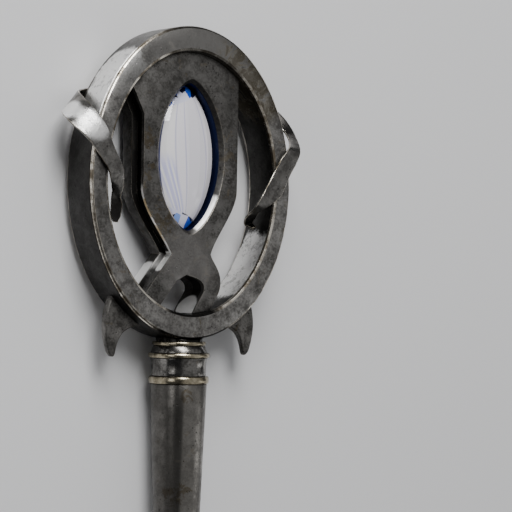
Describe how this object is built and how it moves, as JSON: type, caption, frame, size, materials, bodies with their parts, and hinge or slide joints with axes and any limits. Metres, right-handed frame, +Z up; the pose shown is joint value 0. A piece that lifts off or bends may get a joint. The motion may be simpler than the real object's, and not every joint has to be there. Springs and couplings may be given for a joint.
{
  "type": "sceptre",
  "caption": "Sceptre with an oval steel ring head around a pointed crystal, twisted straps, claws, a wire-wound grip and a turned pommel, lying face up.",
  "frame": {"origin": "middle of the small flat under the pommel's widest edge, on the surface that the sceptre lies on", "axes": "+Y towards the ring head, +Z up and out of the head's front, +X to the right of the head seen from the front"},
  "size_m": [0.2029, 1.0061, 0.0493],
  "materials": {
    "pitted_steel": "dark, mottled and pitted, with brown stains",
    "strap_steel": "worn, creased strap with bright edges",
    "polished_steel": "worn polish with stains",
    "shaft_steel": "brown-stained, with streaks along it",
    "aged_brass": "aged, worn bright on the edges",
    "wire_brass": "matt, aged and creased",
    "crystal": "clear, milky in the middle, blue at the tips"
  },
  "bodies": {
    "root": {"ring": "pitted_steel", "setting_plate": "pitted_steel", "stone": "crystal", "claw_left": "pitted_steel", "claw_right": "pitted_steel", "strap_left": "strap_steel", "strap_right": "strap_steel", "collar": "polished_steel", "band_top": "aged_brass", "band_middle": "aged_brass", "band_bottom": "aged_brass", "shaft": "shaft_steel", "grip_wire": "wire_brass", "pommel": "polished_steel"}
  },
  "joints": []
}
